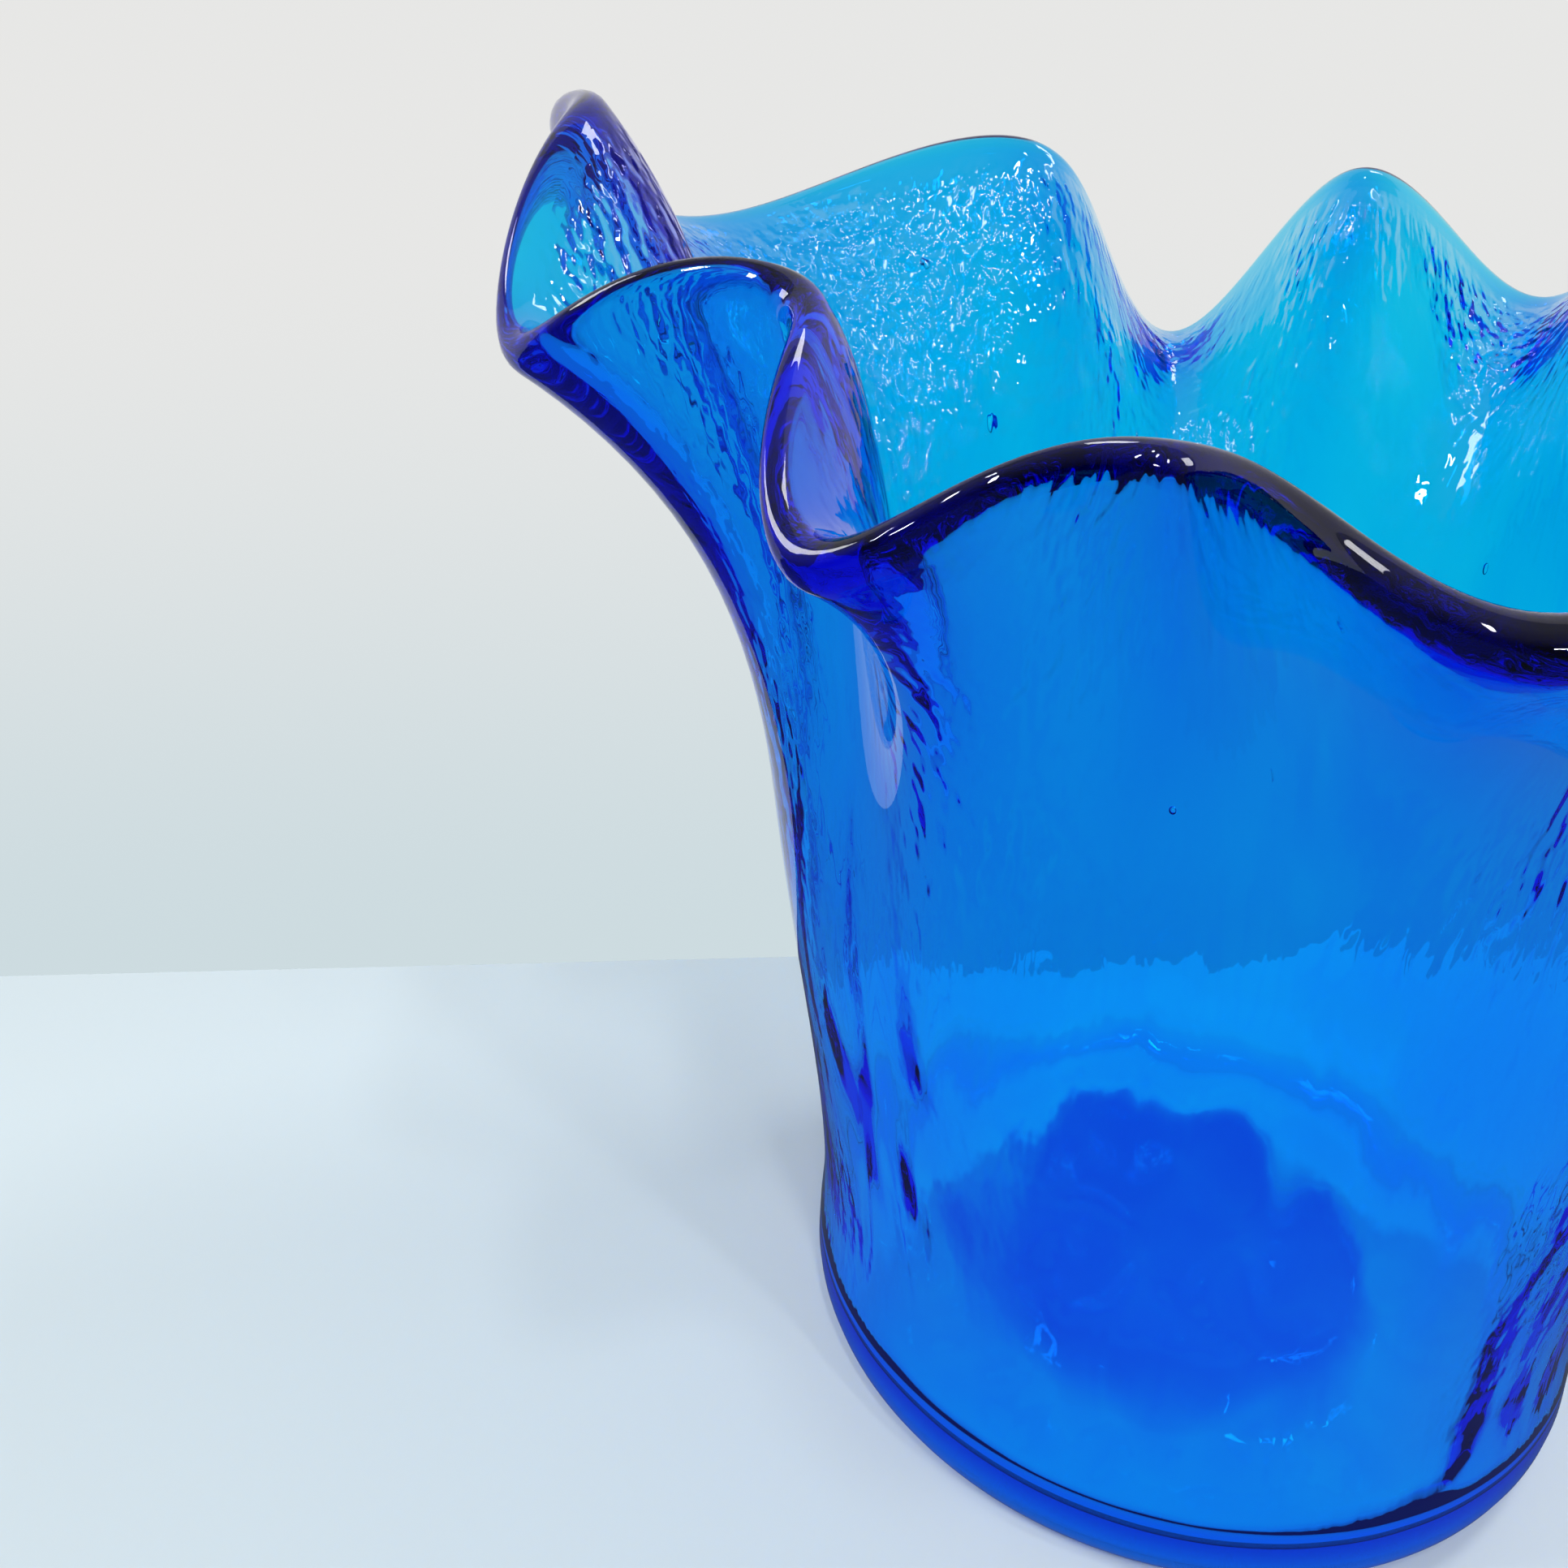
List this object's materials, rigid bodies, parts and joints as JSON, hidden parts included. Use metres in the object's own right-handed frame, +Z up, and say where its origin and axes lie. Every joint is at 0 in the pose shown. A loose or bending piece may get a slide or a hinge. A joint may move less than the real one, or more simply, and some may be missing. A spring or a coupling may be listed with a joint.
{
  "type": "art glass bowl",
  "caption": "Tall blown glass bowl with a round flat foot, a plain barrel wall and a wide flared, ruffled rim.",
  "frame": {"origin": "middle of the flat underside, on the surface the bowl stands on", "axes": "+Z up, front towards -Y, +X to the right seen from the front"},
  "size_m": [0.2402, 0.2279, 0.2253],
  "materials": {
    "glass": "polished outside, rippled inside"
  },
  "bodies": {
    "root": {"glass_bowl": "glass"}
  },
  "joints": []
}
